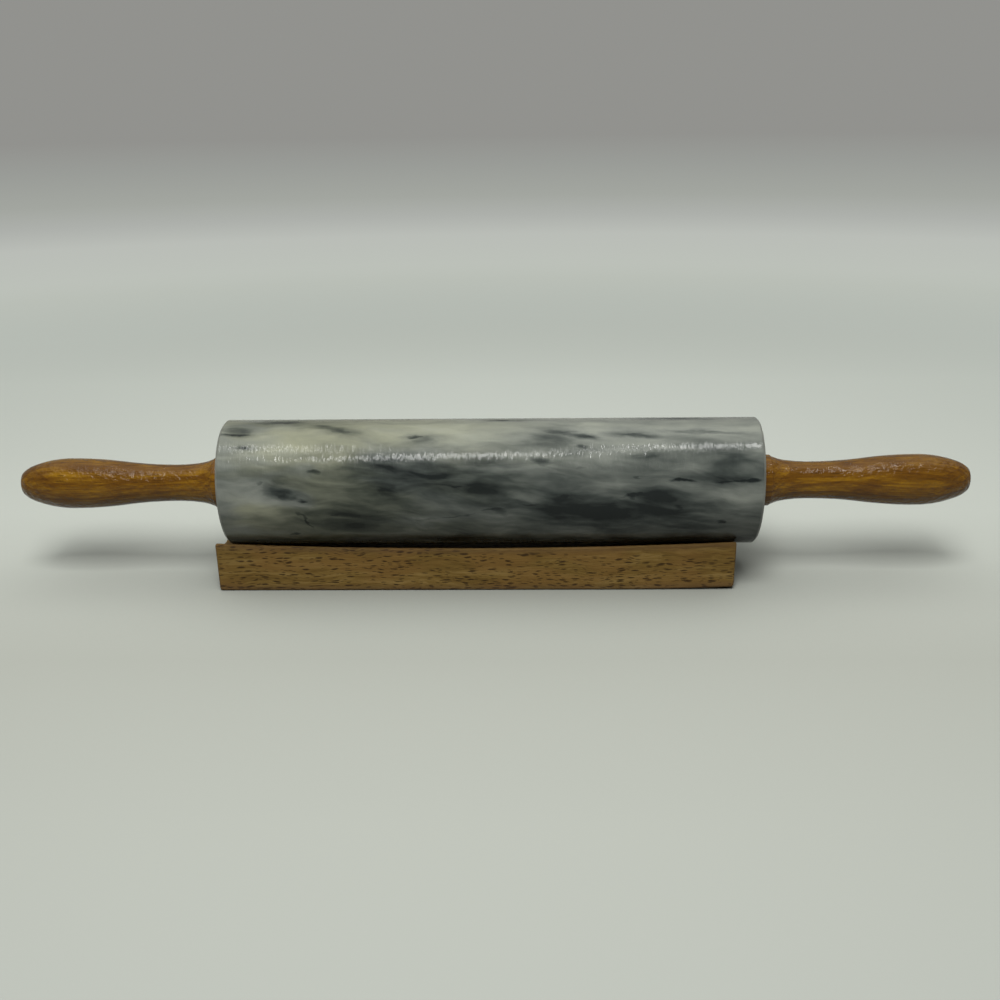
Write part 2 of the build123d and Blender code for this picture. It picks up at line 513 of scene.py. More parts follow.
def line(start, end, steps):
    return np.linspace(start, end, steps + 1)


def turned(outline, segments):
    # An outline of (place along X, radius) carried round the pin's axis
    angle = np.linspace(0, 2 * math.pi, segments, endpoint=False)
    points = np.zeros((len(outline), segments, 3))
    points[..., 0] = outline[:, :1]
    points[..., 1] = -outline[:, 1:] * np.cos(angle)
    points[..., 2] = axisHeight + outline[:, 1:] * np.sin(angle)
    return points


# Barrel: polished marble with a ground bevel at each rim, in millimetres
barrelValues = {
    "bevel": 1.2,
    "ease": 0.25,  # radius of the bevel's own edges
    "boreRadius": 7.0,
    "seatRadius": 12.0,
    "seatDepth": 1.6,
    "wallSteps": 24,  # from mid length to the rim
    "endSteps": 8,
    "boreSteps": 12,
    "edgeSteps": 2,
    "segments": 300,
    "sharpAngle": 50,
}


def makeBarrel(values):
    # Half an outline, mirrored for the left and carried round the axis
    half = (barrelHigh.x - barrelLow.x) / 2 / millimetre
    radius = barrelRadius / millimetre
    bevel, ease = values["bevel"], values["ease"]
    bore, seat, depth = values["boreRadius"], values["seatRadius"], values["seatDepth"]
    wallMiddle, boreMiddle = (0, radius), (0, bore)
    outerRim, innerRim = (half - bevel, radius), (half, radius - bevel)
    seatEdge, seatCorner, boreEdge = (half, seat), (half - depth, seat), (half - depth, bore)
    # From the middle of the wall over the bevel and the end to the middle of the bore
    right = np.vstack(
        [
            line(wallMiddle, (half - bevel - 2 * ease, radius), values["wallSteps"])[1:],
            cornerArc(wallMiddle, outerRim, innerRim, ease),
            cornerArc(outerRim, innerRim, seatEdge, ease),
            line((half, radius - bevel - 2 * ease), (half, seat + ease), values["endSteps"]),
            cornerArc(innerRim, seatEdge, seatCorner, ease / 2, values["edgeSteps"]),
            [seatCorner],
            cornerArc(seatCorner, boreEdge, boreMiddle, ease / 2, values["edgeSteps"]),
            line((half - depth - ease, bore), boreMiddle, values["boreSteps"])[1:],
        ]
    )
    left = right[::-1] * (-1, 1)
    outline = np.vstack([right, left[1:], [wallMiddle]])
    onBevel = (outline[:, 1] < radius - ease / 4) & (outline[:, 1] > radius - bevel - ease)
    points = turned(outline * millimetre, values["segments"])
    faces = gridFaces(len(outline), values["segments"], wrapRows=True, wrapColumns=True)
    ground = np.repeat(onBevel.astype(float), values["segments"])
    barrel = makeMesh("barrel", points, faces, values["sharpAngle"], {"ground": ground})
    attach(barrel, "barrel")
    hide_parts("marble_barrel")
    return barrel


# Each mark: place along the barrel in mm, angle up from the front in degrees,
# half length and half width in mm, tilt in degrees, depth from 0 to 1
marbleValues = {
    "shades": [  # darkness, colour
        (0.0, (0.29, 0.30, 0.24)),
        (0.25, (0.20, 0.21, 0.175)),
        (0.5, (0.108, 0.117, 0.099)),
        (0.75, (0.046, 0.053, 0.046)),
        (1.0, (0.012, 0.015, 0.014)),
    ],
    "plainDarkness": 0.2,
    "markDarkness": 0.88,
    "strokesInMarks": (0.9, 0.55),  # what the strokes add to a mark's depth, and its least
    "broadShare": 0.5,
    "strokeShare": 0.5,
    "lightShare": -0.25,
    "warmth": (1.03, 1.02, 0.89),
    "coolness": (0.98, 1.0, 1.05),
    "warmPlaces": (-90.0, 60.0),  # mm along the barrel where the warmth starts to fade and is gone
    "warmPatches": (0.35, 0.6),
    "slowWave": (0.11, 2, (11.0, 5.0, 0.0)),  # noise per mm, its detail, its reach in mm
    "quickWave": (0.5, 3, (5.0, 2.4, 0.0)),
    "beddingWave": (0.06, 2, (0.0, 14.0, 14.0)),
    "waveStretch": (0.45, 1.0, 1.0),
    "broadStretch": (0.02, 0.06, 0.06),
    "strokeStretch": (0.045, 0.2, 0.2),
    "lean": 0.1,  # mm that the bedding falls for each mm along the barrel
    "wallFade": (4.0, 1.5),  # mm inside the wall where the marks start and where they are full
    "dust": (0.32, 0.33, 0.29),
    "dustShare": 0.35,
    "polish": 0.09,  # the least roughness
    "patchyRoughness": 0.1,
    "patchScale": 0.12,
    "groundRoughness": 0.2,
    "reflection": 0.2,
    "rippleStretch": (0.4, 0.15, 0.15),
    "rippleRoughness": 0.55,
    "rippleHeight": 0.26,
    "backSeed": 7,
    "backMarks": 26,
    "backPlaces": (-118, 118),
    "backAngles": ((104, 168), (-168, -58)),  # each mark lies in one of the two bands
    "backLengths": (4, 16),
    "backWidths": (1.2, 4.5),
    "backTilts": (-22, 12),
    "backDepths": (0.5, 0.95),
    "lightMarks": [
        (-93, 50, 22, 9, 0, 0.9),
        (-17, 66, 34, 13, 0, 0.9),
        (46, 78, 8, 5, 0, 1.0),
        (-109, -12, 19, 16, 0, 0.95),
        (114, -8, 15, 10, 0, 0.5),
        (100, 60, 24, 12, 0, 0.35),
    ],
    "cloudAndShadeMarks": [
        # The first three run the barrel's whole length and darken its front and underside: painted shade,
        # not stone
        (0, 22, 400, 13, 0, 0.35),
        (0, -18, 400, 14, 0, 0.36),
        (0, -50, 400, 7, 0, 0.6),
        (100, 42, 34, 15, 0, 0.3),
        (-20, 5, 30, 14, 0, 0.3),
        (72, -12, 32, 9, 0, 0.35),
        (-118, 71, 10, 4, 0, 0.6),
        (-100, 86, 18, 4, 0, 0.7),
        (-97, 9, 12, 6, -12, 0.75),
        (-60, -15, 24, 13, 0, 0.62),
        (-47, 9, 9, 4, -27, 0.8),
        (-47, 31, 9, 4, -18, 0.7),
        (-29, 56, 9, 5, 0, 0.5),
        (28, 55, 17, 6, 0, 0.55),
        (-30, 25, 28, 10, -5, 0.72),
        (2, 15, 20, 13, 0, 0.5),
        (9, 0, 13, 6, -18, 0.75),
        (36, -8, 24, 11, 0, 0.85),
        (54, -10, 20, 9, 0, 0.78),
        (78, 1, 12, 6, 0, 0.7),
        (86, -19, 26, 10, 0, 0.66),
        (72, 40, 8, 3, 0, 0.45),
        (110, 18, 16, 3, 0, 0.45),
        (-18, -46, 16, 5, 0, 0.7),
        # Painted shade: the lower right, where the barrel sits close in the cradle
        (98, -52, 36, 8, 0, 0.95),
        (112, 30, 16, 12, 0, 0.3),
    ],
    "veinMarks": [
        (-119, 65, 9, 1.7, 0, 0.95),
        (-72, 71, 17, 2.8, -25, 0.5),
        (-114, 49, 5.5, 1.7, 0, 0.7),
        (-81, 25, 7.5, 2.2, -8, 0.78),
        (-107, 15, 2.6, 2.2, 0, 0.7),
        (-95, 6, 9, 3.8, -10, 1.0),
        (-87, 0, 3, 1.4, -5, 0.95),
        (-87, -20, 12, 1.8, -58, 0.72),
        (-72, -13, 4.5, 1.4, 0, 0.8),
        (-51, -9, 3.3, 1.3, 0, 0.78),
        (-52, -18, 2.7, 1.3, 0, 0.74),
        (-93, -36, 3.8, 1.4, 0, 0.75),
        (-34, 59, 5.6, 1.9, 0, 0.95),
        (9, 90, 12, 1.9, 0, 0.6),
        (34, 64, 13, 2.5, -13, 0.62),
        (-32, 23, 11, 6.0, -25, 0.86),
        (-16, 27, 8, 1.3, 0, 0.72),
        (-14, 13, 8, 2.0, -5, 0.85),
        (10, 0, 13, 2.8, -18, 0.82),
        (-32, -18, 12, 1.3, 3, 0.6),
        (-18, -16, 9, 1.2, 5, 0.6),
        (-8, -13, 6.5, 1.2, 15, 0.6),
        (3, -9, 8, 1.5, 2, 0.86),
        (6, -13, 7.5, 3.6, 0, 0.74),
        (20, -5, 10, 1.2, 0, 0.8),
        (36, -12, 21, 5.2, 0, 0.93),
        (35, 2, 3.0, 2.4, 0, 1.0),
        (-43, 7, 4.8, 1.6, -28, 0.78),
        (23, 34, 9.5, 2.8, -10, 0.72),
        (45, 60, 8, 2.0, -18, 0.72),
        (43, 49, 4.8, 1.5, 0, 0.6),
        (69, 61, 13, 2.2, -6, 0.6),
        (91, 92, 19, 2.4, 0, 0.6),
        (100, 65, 26, 2.0, -4, 0.45),
        (70, 40, 7, 1.5, 0, 0.62),
        (43, 28, 5, 1.4, 0, 0.5),
        (67, 20, 5, 1.0, 0, 0.55),
        (88, 17, 11, 1.4, -2, 0.88),
        (112, 16, 17, 1.4, 0, 0.88),
        (121, 16, 5, 2.0, 0, 0.95),
        (70, 4, 19, 1.4, 6, 0.9),
        (66, 2, 2.8, 2.2, 0, 0.95),
        (78, 1, 10, 3.4, 0, 0.78),
        (87, -7, 7, 2.8, -14, 0.9),
        (108, -23, 2.9, 2.2, 0, 0.9),
    ],
}


def backMarks(values):
    # Like marks for the sides that the lists leave out, their middles clear of the map's seam at the back
    draw = random.Random(values["backSeed"])
    marks = []
    for _ in range(values["backMarks"]):
        place = draw.uniform(*values["backPlaces"])
        angle = draw.choice([draw.uniform(*band) for band in values["backAngles"]])
        sizes = [draw.uniform(*values[size]) for size in ("backLengths", "backWidths")]
        looks = [draw.uniform(*values[look]) for look in ("backTilts", "backDepths")]
        marks.append((place, angle, *sizes, *looks))
    return marks


def addMarks(tree, surface, marks):
    # Lays each mark over those before it, on a map of mm along and mm round the barrel
    before = 0.0
    radius = barrelRadius / millimetre
    for along, angle, length, width, tilt, depth in marks:
        inputs = {
            "Map": surface,
            "Place": (along, math.radians(angle) * radius, 0),
            "Reach": (length, width, 1),
            "Tilt": math.radians(tilt),
            "Depth": depth,
            "Before": before,
        }
        before = useGroup(tree, markGroup, inputs)
    return before


def marbleMaterial(values):
    material, tree, shader = newMaterial("veinedMarble")
    point = millimetres(tree)
    parts = addNode(tree, "ShaderNodeSeparateXYZ", {0: point}).outputs
    radius = barrelRadius / millimetre
    up = calc(tree, "SUBTRACT", parts[2], axisHeight / millimetre)
    front = calc(tree, "MULTIPLY", parts[1], -1.0)
    around = calc(tree, "MULTIPLY", calc(tree, "ARCTAN2", up, front), radius)
    flat = addNode(tree, "ShaderNodeCombineXYZ", {0: parts[0], 1: around}).outputs[0]

    # Slow and quick waves bend the map, so that no mark keeps a plain outline
    lengthwise = vectorCalc(tree, "MULTIPLY", point, values["waveStretch"])
    surface = vectorCalc(tree, "ADD", flat, sway(tree, lengthwise, *values["slowWave"]))
    surface = vectorCalc(tree, "ADD", surface, sway(tree, lengthwise, *values["quickWave"]))
    lights = addMarks(tree, surface, values["lightMarks"])
    # Clouds of darker stone, and painted shade on the barrel's front, underside and lower right
    cloudsAndShade = addMarks(tree, surface, values["cloudAndShadeMarks"])
    veins = addMarks(tree, surface, values["veinMarks"] + backMarks(values))

    # The bedding of the stone: soft brush strokes that fall a little towards the right
    drop = addNode(tree, "ShaderNodeCombineXYZ", {2: calc(tree, "MULTIPLY", parts[0], values["lean"])})
    leaning = vectorCalc(tree, "ADD", point, drop.outputs[0])
    leaning = vectorCalc(tree, "ADD", leaning, sway(tree, lengthwise, *values["beddingWave"]))
    broad = stretchedNoise(tree, leaning, values["broadStretch"], 2)
    strokes = stretchedNoise(tree, leaning, values["strokeStretch"], 3)

    # On the end faces the map means nothing, so the marks fade out just inside the wall
    distance = lengthOf(tree, addNode(tree, "ShaderNodeCombineXYZ", {0: up, 1: front}).outputs[0])
    fadeStart, fadeEnd = values["wallFade"]
    onWall = smoothStep(tree, distance, radius - fadeStart, radius - fadeEnd)
    marks = calc(tree, "MULTIPLY", calc(tree, "MAXIMUM", cloudsAndShade, veins), onWall)
    lights = calc(tree, "MULTIPLY", lights, onWall)
    marks = calc(tree, "MULTIPLY", marks, calc(tree, "MULTIPLY_ADD", strokes, *values["strokesInMarks"]))
    darkness = calc(tree, "MULTIPLY_ADD", marks, values["markDarkness"], values["plainDarkness"])
    darkness = addShare(tree, darkness, broad, values["broadShare"])
    darkness = addShare(tree, darkness, strokes, values["strokeShare"])
    darkness = calc(tree, "MULTIPLY_ADD", lights, values["lightShare"], darkness)
    stone = ramp(tree, darkness, values["shades"])
    warm = smoothStep(tree, parts[0], *values["warmPlaces"], 1.0, 0.0)
    warm = calc(tree, "MULTIPLY", warm, smoothStep(tree, broad, *values["warmPatches"]))
    tint = mixColours(tree, warm, opaque(values["coolness"]), opaque(values["warmth"]))
    stone = mixColours(tree, 1.0, stone, tint, "MULTIPLY")

    # The bevels are ground, not polished: lighter and duller
    ground = addNode(tree, "ShaderNodeAttribute", attribute_name="ground").outputs["Fac"]
    dusty = mixColours(tree, values["dustShare"], stone, opaque(values["dust"]))
    colour = mixColours(tree, ground, stone, dusty)
    patchy = noise(tree, point, values["patchScale"], 2)
    roughness = calc(tree, "MULTIPLY_ADD", patchy, values["patchyRoughness"], values["polish"])
    roughness = calc(tree, "MULTIPLY_ADD", ground, values["groundRoughness"], roughness)

    # Grinding left faint ripples: short along the barrel, longer round it
    ripple = stretchedNoise(tree, point, values["rippleStretch"], 2, values["rippleRoughness"])
    feed(
        tree,
        shader,
        Base_Color=colour,
        Roughness=roughness,
        Normal=bump(tree, ripple, values["rippleHeight"]),
        Specular_IOR_Level=values["reflection"],
    )
    return material


makeBarrel(barrelValues).data.materials.append(marbleMaterial(marbleValues))
print("barrel made")


# Handles: turned and varnished, in millimetres, with places along them measured from the inner face
handleValues = {
    "insertRadius": 6.0,
    "insertDepth": 20.5,
    "drillRadius": 4.25,
    "drillDepth": 30.0,
    "drillPoint": 2.5,
    "collarRadius": 12.2,
    "collarLength": 5.5,
    "collarRound": 0.7,
    "coveStep": 0.2,
    "coveRun": 6.9,
    "coveRise": 0.9,
    "neckRadius": 8.8,
    "neckPlace": 24.5,
    "gripRadius": 12.1,
    "gripPlace": 76.0,
    "noseLength": 5.2,
    "noseRadius": 8.6,
    "buttRadius": 5.3,
    "buttRound": 1.6,
    "flatInset": 2.0,  # how far inside the butt's edge its flat middle starts
    "coveSteps": 10,
    "neckSteps": 14,
    "swellSteps": 16,  # for each of its two arcs, and for the grip's
    "noseSteps": 10,
    "mouthSteps": 2,
    "collarSteps": 3,
    "flatSteps": 3,
    "segments": 160,
    "sharpAngle": 40,
}


def handleOutline(values, length):
    # From the point of the drilled hole, out at the inner face, over the grip and round the butt
    collar, collarRadius = values["collarLength"], values["collarRadius"]
    coveStart = (collar, collarRadius - values["coveStep"])
    coveEnd = (collar + values["coveRun"], values["neckRadius"] + values["coveRise"])
    neck, grip = (values["neckPlace"], values["neckRadius"]), (values["gripPlace"], values["gripRadius"])
    middle = ((neck[0] + grip[0]) / 2, (neck[1] + grip[1]) / 2)
    noseStart = (length - values["noseLength"], values["noseRadius"])
    butt, tip = (length, values["buttRadius"]), (length, 0)

    # Six arcs, each going on from the heading of the one before; the neck's and the cove's run inwards
    neckArc, heading = headedArc(neck, math.pi, coveEnd, values["neckSteps"])
    coveArc = headedArc(coveEnd, heading, coveStart, values["coveSteps"])[0]
    lowerSwell, heading = headedArc(neck, 0, middle, values["swellSteps"])
    upperSwell = headedArc(middle, heading, grip, values["swellSteps"])[0]
    gripArc, heading = headedArc(grip, 0, noseStart, values["swellSteps"])
    noseArc = headedArc(noseStart, heading, butt, values["noseSteps"])[0][1:-1]

    bore = (values["insertDepth"], values["insertRadius"])
    drill = (values["drillDepth"], values["drillRadius"])
    mouth, shoulder, collarEdge = (0, values["insertRadius"]), (0, collarRadius), (collar, collarRadius)
    return np.vstack(
        [
            [(values["drillDepth"] + values["drillPoint"], 0), drill, (bore[0], drill[1]), bore],
            cornerArc(bore, mouth, shoulder, values["coveStep"], values["mouthSteps"]),
            cornerArc(mouth, shoulder, collarEdge, values["collarRound"]),
            cornerArc(shoulder, collarEdge, coveStart, values["coveStep"] / 2, values["collarSteps"]),
            coveArc[::-1],
            neckArc[::-1][1:],
            lowerSwell[1:],
            upperSwell[1:],
            gripArc[1:],
            noseArc,
            cornerArc(noseArc[-1], butt, tip, values["buttRound"]),
            line((length, values["buttRadius"] - values["flatInset"]), tip, values["flatSteps"]),
        ]
    )


def makeHandle(name, side, values):
    # The outline, mirrored for the left side, carried round the axis from the handle's inner face
    low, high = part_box(name)
    face = (low.x if side > 0 else high.x) / millimetre
    outline = handleOutline(values, (high.x - low.x) / millimetre) * (side, 1) + (face, 0)
    points = turned(outline * millimetre, values["segments"])
    faces = gridFaces(len(outline), values["segments"], wrapColumns=True)
    handle = makeMesh(name.replace("_", "") + "Turned", points, faces, values["sharpAngle"])
    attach(handle, "handles")
    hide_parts(name)
    return handle


handleWoodValues = {
    "pale": (0.25, 0.125, 0.005),
    "middle": (0.138, 0.059, 0.002),
    "deep": (0.075, 0.027, 0.001),
    "line": (0.035, 0.013, 0.001),
    "stops": (0.05, 0.42, 0.85, 1.0),  # the tones at which the four colours stand
    "plainTone": 0.42,
    "ringTone": 0.22,  # how much each effect changes the tone
    "streakTone": 0.32,
    "fibreTone": 0.26,
    "blotchTone": 0.8,
    "poreShare": 0.5,
    "pithPlace": (0.0, 55.0, -40.0),
    "ringWidth": 3.4,
    "ringStretch": (0.03, 1.0, 1.0),
    "waveStretch": (0.012, 0.05, 0.05),
    "waveReach": (0.0, 9.0, 9.0),
    "blotchStretch": (0.06, 0.12, 0.12),
    "fibre": {"Length": 22.0, "Width": 0.5, "Detail": 3.0},
    "streak": {"Length": 45.0, "Width": 2.2, "Detail": 2.0},
    "pores": {"Length": 9.0, "Width": 0.8, "Share": 0.22},
    "reflection": 0.3,
    "gloss": 0.1,  # the least roughness
    "fibreRoughness": 0.06,
    "unevenStretch": (0.36, 0.45, 0.45),
    "fibreRelief": -0.03,
    "relief": 0.75,
}


def handleMaterial(values):
    material, tree, shader = newMaterial("varnishedWood")
    point = millimetres(tree)

    # Growth rings: even shells round a pith line that lies outside the handle, waved by noise
    wave = stretchedNoise(tree, point, values["waveStretch"], 2, output="Color")
    bent = vectorCalc(tree, "MULTIPLY_ADD", wave, values["waveReach"], point)
    fromPith = vectorCalc(tree, "SUBTRACT", bent, values["pithPlace"])
    fromPith = vectorCalc(tree, "MULTIPLY", fromPith, values["ringStretch"])
    ring = calc(tree, "FRACT", calc(tree, "DIVIDE", lengthOf(tree, fromPith), values["ringWidth"]))
    fibre = useGroup(tree, fibreGroup, {"Point": point, **values["fibre"]})
    streak = useGroup(tree, fibreGroup, {"Point": bent, **values["streak"]})
    blotch = stretchedNoise(tree, point, values["blotchStretch"], 3)
    # Each ring darkens with the square of the way across it, which is 0.33 on average
    tone = addShare(tree, values["plainTone"], calc(tree, "POWER", ring, 2.0), values["ringTone"], 0.33)
    tone = addShare(tree, tone, streak, values["streakTone"])
    tone = addShare(tree, tone, fibre, values["fibreTone"])
    tone = addShare(tree, tone, blotch, values["blotchTone"])
    colours = [values[shade] for shade in ("pale", "middle", "deep", "line")]
    wood = ramp(tree, tone, list(zip(values["stops"], colours)))
    pores = useGroup(tree, poreGroup, {"Point": bent, **values["pores"]})
    pores = calc(tree, "MULTIPLY", pores, values["poreShare"])
    wood = mixColours(tree, pores, wood, opaque(values["line"]))

    # The varnish lies unevenly, so its glints break up
    uneven = stretchedNoise(tree, point, values["unevenStretch"], 2)
    height = calc(tree, "MULTIPLY_ADD", fibre, values["fibreRelief"], uneven)
    feed(
        tree,
        shader,
        Base_Color=wood,
        Roughness=calc(tree, "MULTIPLY_ADD", fibre, values["fibreRoughness"], values["gloss"]),
        Normal=bump(tree, height, values["relief"]),
        Specular_IOR_Level=values["reflection"],
    )
    return material


handleWood = handleMaterial(handleWoodValues)
for name, side in (("left_handle", -1), ("right_handle", 1)):
    makeHandle(name, side, handleValues).data.materials.append(handleWood)
print("handles made")


# Cradle: one block of plain wood, its top and its trough dipping towards mid length, in millimetres
cradleValues = {
    "topSag": 2.8,
    "troughRadius": 34.0,
    "troughDepth": 5.8,
    "troughSag": 2.4,
    "troughEase": 0.5,  # how far the trough's rounded edge reaches into it
    "easeLanding": 0.3,  # and how far over the top
    "topRound": 0.8,
    "bottomRound": 1.3,
    "endRound": 1.2,
    "footLift": 1.3,
    "footLiftRun": 62.0,
    "fanHeight": 6.0,
    "stations": 60,  # sections along the straight stretch
    "troughPoints": 25,  # in half a section
    "easePoints": 5,
    "cornerPoints": 8,
    "sidePoints": 8,
    "underPoints": 6,
    "sharpAngle": 28,
}


def arcDrop(place, half, sag):
    # How far a shallow circular arc has dropped at a place, full at the middle and nothing at the ends
    radius = (half**2 + sag**2) / (2 * sag)
    return np.sqrt(radius**2 - place**2) - (radius - sag)


def sectionArc(y, z, radius, start, end, count):
    # Part of a circle round a centre for each section, between two angles up from sideways
    angle = np.linspace(start, end, count)[None, :]
    return y + radius * np.cos(angle), z + radius * np.sin(angle)


def easedEdge(start, edge, end, share):
    # The parabola from start to end that leaves and arrives in line with the edge point
    return (1 - share) ** 2 * start + 2 * (1 - share) * share * edge + share**2 * end


def makeCradle(values):
    # Sections across the block, one for each place along X, joined from end to end
    boxLow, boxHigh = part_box("cradle")
    half = (boxHigh.x - boxLow.x) / 2 / millimetre
    middle = (boxHigh.x + boxLow.x) / 2 / millimetre
    width = (boxHigh.y - boxLow.y) / 2 / millimetre
    height = boxHigh.z / millimetre
    centre = height - values["troughDepth"] + values["troughRadius"]

    # The places crowd towards the ends, where the section shrinks along a quarter circle
    turnAngle = np.linspace(0, math.pi / 2, values["cornerPoints"])
    endRound = values["endRound"]
    inset = endRound * (1 - np.sin(turnAngle))
    fromEnd = endRound * (1 - np.cos(turnAngle))
    inner = np.linspace(-half + endRound, half - endRound, values["stations"])
    place = np.concatenate([-half + fromEnd[:-1], inner, (half - fromEnd[:-1])[::-1]])
    shrink = np.concatenate([inset[:-1], np.zeros(len(inner)), inset[:-1][::-1]])[:, None]
    top = height - arcDrop(place, half, values["topSag"])[:, None] - shrink
    # The underside comes off the floor along a parabola towards the right end
    lift = np.clip((place - half) / values["footLiftRun"] + 1, 0, 1)[:, None] ** 2 * values["footLift"]
    foot = lift + shrink
    side = width - shrink
    radius = values["troughRadius"] + arcDrop(place, half, values["troughSag"])[:, None] + shrink / 2
    edge = np.sqrt(radius**2 - (centre - top) ** 2)
    edgeAngle = np.arcsin(edge / radius)

    # Half a section, from the bottom of the trough over its edge and down the side to the underside
    arc = np.linspace(0, 1, values["troughPoints"])[None, :] * (edgeAngle - values["troughEase"] / radius)
    troughY, troughZ = radius * np.sin(arc), centre - radius * np.cos(arc)
    share = np.linspace(0, 1, values["easePoints"])[None, 1:]
    easeY = easedEdge(troughY[:, -1:], edge, edge + values["easeLanding"], share)
    easeZ = easedEdge(troughZ[:, -1:], top, top, share)
    high, low, count = values["topRound"], values["bottomRound"], values["cornerPoints"]
    upperY, upperZ = sectionArc(side - high, top - high, high, math.pi / 2, 0, count)
    lowerY, lowerZ = sectionArc(side - low, foot + low, low, 0, -math.pi / 2, count)
    down = np.linspace(0, 1, values["sidePoints"])[None, 1:-1]
    sideY, sideZ = side + 0 * down, (top - high) * (1 - down) + (foot + low) * down
    under = np.linspace(1, 0, values["underPoints"])[None, 1:]
    underY, underZ = (side - low) * under, foot + 0 * under
    halfY = np.hstack([troughY, easeY, upperY, sideY, lowerY, underY])
    halfZ = np.hstack([troughZ, easeZ, upperZ, sideZ, lowerZ, underZ])
    y = np.hstack([halfY, -halfY[:, -2:0:-1]])
    z = np.hstack([halfZ, halfZ[:, -2:0:-1]])
    # Where the painted shade lies: full on the top and bottom rounds, half on the trough's eased edge
    rounded = [(troughY, 0), (easeY, 0.5), (upperY, 1), (sideY, 0), (lowerY, 1), (underY, 0)]
    shadedEdges = np.concatenate([np.full(part.shape[1], value) for part, value in rounded])
    shadedEdges = np.concatenate([shadedEdges, shadedEdges[-2:0:-1]])

    # Each end closes in a fan round one point of its own
    place = np.concatenate([place[:1], place, place[-1:]])[:, None]
    fan = np.ones_like(y[:1])
    y = np.vstack([0 * fan, y, 0 * fan])
    z = np.vstack([values["fanHeight"] * fan, z, values["fanHeight"] * fan])
    points = np.stack([np.broadcast_to(middle + place, y.shape), y, z], -1) * millimetre
    faces = gridFaces(*y.shape, wrapColumns=True)
    edges = {"edge": np.broadcast_to(shadedEdges, y.shape)}
    cradle = makeMesh("woodCradle", points, faces, values["sharpAngle"], edges)
    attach(cradle, "cradle")
    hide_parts("cradle")
    return cradle


cradleWoodValues = {
    "pale": (0.222, 0.145, 0.046),
    "middle": (0.156, 0.096, 0.024),
    "deep": (0.098, 0.056, 0.013),
    "reddish": (0.17, 0.094, 0.026),
    "pore": (0.024, 0.012, 0.003),
    # The colour of the painted shade on the rounded edges
    "edge": (0.075, 0.045, 0.03),
    "stops": (0.1, 0.5, 0.95),  # the tones at which pale, middle and deep stand
    "broad": {"Length": 55.0, "Width": 3.2, "Detail": 2.0},
    "fibre": {"Length": 16.0, "Width": 0.5, "Detail": 3.0},
    "broadTone": 0.55,
    "fibreTone": 0.4,
    "bendStretch": (0.03, 0.09, 0.09),
    "bend": (1.0, 2, (4, 7, 7)),  # noise scale, its detail, its reach in mm
    "zoneStretch": (0.03, 0.1, 0.1),
    "zoneContrast": (0.42, 0.6),
    "zoneShare": 0.6,
    "coarsePores": {"Length": 6.6, "Width": 1.2, "Share": 0.66},
    "finePores": {"Length": 4.4, "Width": 0.75, "Share": 0.48},
    "finePoreDepth": 0.75,
    "poreWave": (0.2, 1, (0.0, 1.0, 1.0)),
    "poreShare": 0.88,
    "plainLine": (-0.03, 20.0),  # the plain stretch's lower edge: its slope along X, its height in mm
    "plainBand": (-1.0, 1.0),  # mm above that edge where it starts and where it is full
    "plainFrom": (-30.0, -10.0),  # mm along X, the same
    "plainness": -0.8,  # what the pores lose there
    "edgeShadeShare": 0.35,
    "reflection": 0.25,
    "dullness": 0.58,
    "fibreRoughness": 0.12,
    "poreRelief": -0.7,
    "fibreRelief": 0.4,
    "relief": 0.12,
}


def cradleMaterial(values):
    material, tree, shader = newMaterial("plainWood")
    point = millimetres(tree)
    slow = vectorCalc(tree, "MULTIPLY", point, values["bendStretch"])
    bent = vectorCalc(tree, "ADD", point, sway(tree, slow, *values["bend"]))
    broad = useGroup(tree, fibreGroup, {"Point": bent, **values["broad"]})
    fibre = useGroup(tree, fibreGroup, {"Point": bent, **values["fibre"]})
    tone = calc(tree, "MULTIPLY", broad, values["broadTone"])
    tone = calc(tree, "MULTIPLY_ADD", fibre, values["fibreTone"], tone)
    colours = [values[shade] for shade in ("pale", "middle", "deep")]
    wood = ramp(tree, tone, list(zip(values["stops"], colours)))
    zone = smoothStep(tree, stretchedNoise(tree, point, values["zoneStretch"], 1), *values["zoneContrast"])
    zone = calc(tree, "MULTIPLY", zone, values["zoneShare"])
    wood = mixColours(tree, zone, wood, opaque(values["reddish"]))

    # Pores: short wavy dashes, fewer in the plain stretch along the top of the right half
    parts = addNode(tree, "ShaderNodeSeparateXYZ", {0: point}).outputs
    plainLine = calc(tree, "MULTIPLY_ADD", parts[0], *values["plainLine"])
    plain = smoothStep(tree, calc(tree, "SUBTRACT", parts[2], plainLine), *values["plainBand"])
    plain = calc(tree, "MULTIPLY", plain, smoothStep(tree, parts[0], *values["plainFrom"]))
    wavy = vectorCalc(tree, "ADD", bent, sway(tree, point, *values["poreWave"]))
    pores = useGroup(tree, poreGroup, {"Point": wavy, **values["coarsePores"]})
    finePores = useGroup(tree, poreGroup, {"Point": wavy, **values["finePores"]})
    pores = calc(tree, "MAXIMUM", pores, calc(tree, "MULTIPLY", finePores, values["finePoreDepth"]))
    pores = calc(tree, "MULTIPLY", pores, calc(tree, "MULTIPLY_ADD", plain, values["plainness"], 1.0))
    inPore = calc(tree, "MULTIPLY", pores, values["poreShare"])
    wood = mixColours(tree, inPore, wood, opaque(values["pore"]))

    # The rounded edges are darkened: painted shade along the top edge by the barrel and along the bottom
    # edge at the floor
    edge = addNode(tree, "ShaderNodeAttribute", attribute_name="edge").outputs["Fac"]
    edge = calc(tree, "MULTIPLY", edge, values["edgeShadeShare"])
    wood = mixColours(tree, edge, wood, opaque(values["edge"]))
    height = calc(tree, "MULTIPLY", fibre, values["fibreRelief"])
    height = calc(tree, "MULTIPLY_ADD", pores, values["poreRelief"], height)
    feed(
        tree,
        shader,
        Base_Color=wood,
        Roughness=calc(tree, "MULTIPLY_ADD", fibre, values["fibreRoughness"], values["dullness"]),
        Normal=bump(tree, height, values["relief"]),
        Specular_IOR_Level=values["reflection"],
    )
    return material


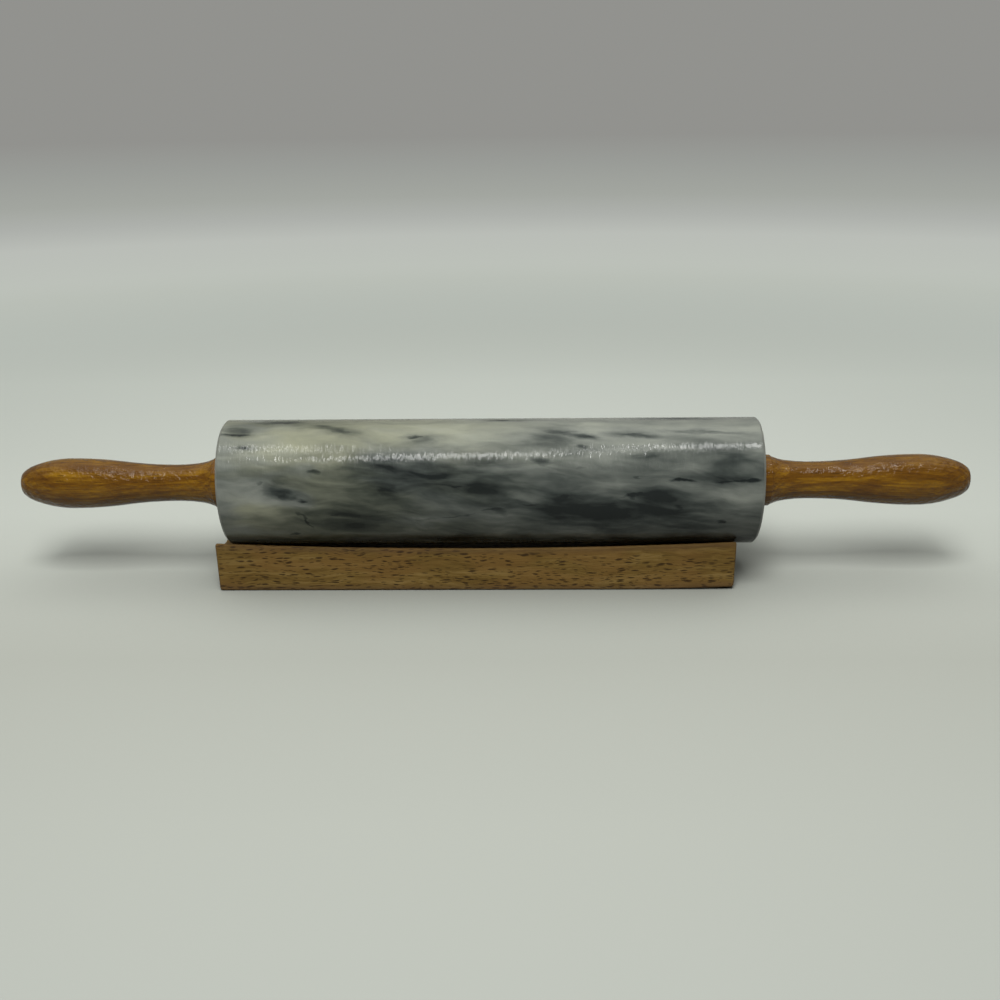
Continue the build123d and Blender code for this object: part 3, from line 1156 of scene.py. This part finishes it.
makeCradle(cradleValues).data.materials.append(cradleMaterial(cradleWoodValues))
print("cradle made")


# Inner pieces keep their solids and get finishes: drawn steel, turned brass, machined nylon
machinedValues = {
    "markStretch": (6.0, 0.08, 0.08),
    "markShare": 0.4,
    "markRelief": 0.03,
    "cloudScale": 0.18,
    "cloudContrast": (0.35, 0.7),
    "cloudShare": 0.5,
    "cloudRoughness": 0.12,
    "noiseRoughness": 0.6,
}
finishValues = {
    "drawnSteel": {
        "nodes": ["axle_rod", "left_washer", "right_washer"],
        "colour": (0.56, 0.57, 0.58),
        "dull": (0.42, 0.43, 0.44),
        "metallic": 1.0,
        "roughness": 0.28,
    },
    "turnedBrass": {
        "nodes": ["left_insert", "right_insert"],
        "colour": (0.72, 0.52, 0.22),
        "dull": (0.52, 0.36, 0.14),
        "metallic": 1.0,
        "roughness": 0.3,
    },
    "machinedNylon": {
        "nodes": ["left_bushing", "right_bushing"],
        "colour": (0.78, 0.77, 0.71),
        "dull": (0.68, 0.66, 0.58),
        "metallic": 0.0,
        "roughness": 0.5,
    },
}


def machinedMaterial(name, values):
    # Fine tool marks round the axis, with a slow cloud of duller places
    material, tree, shader = newMaterial(name)
    point = millimetres(tree)
    marks = stretchedNoise(tree, point, values["markStretch"], 2, values["noiseRoughness"])
    cloud = noise(tree, point, values["cloudScale"], 3, values["noiseRoughness"])
    cloud = smoothStep(tree, cloud, *values["cloudContrast"])
    share = calc(tree, "MULTIPLY", cloud, values["cloudShare"])
    share = calc(tree, "MULTIPLY_ADD", marks, values["markShare"], share)
    feed(
        tree,
        shader,
        Base_Color=mixColours(tree, share, opaque(values["colour"]), opaque(values["dull"])),
        Metallic=values["metallic"],
        Roughness=calc(tree, "MULTIPLY_ADD", cloud, values["cloudRoughness"], values["roughness"]),
        Normal=bump(tree, marks, values["markRelief"]),
    )
    return material


for name, values in finishValues.items():
    material = machinedMaterial(name, {**machinedValues, **values})
    for node in values["nodes"]:
        piece = bpy.data.objects[node]
        piece.data.materials.clear()
        piece.data.materials.append(material)
print("inner pieces finished")
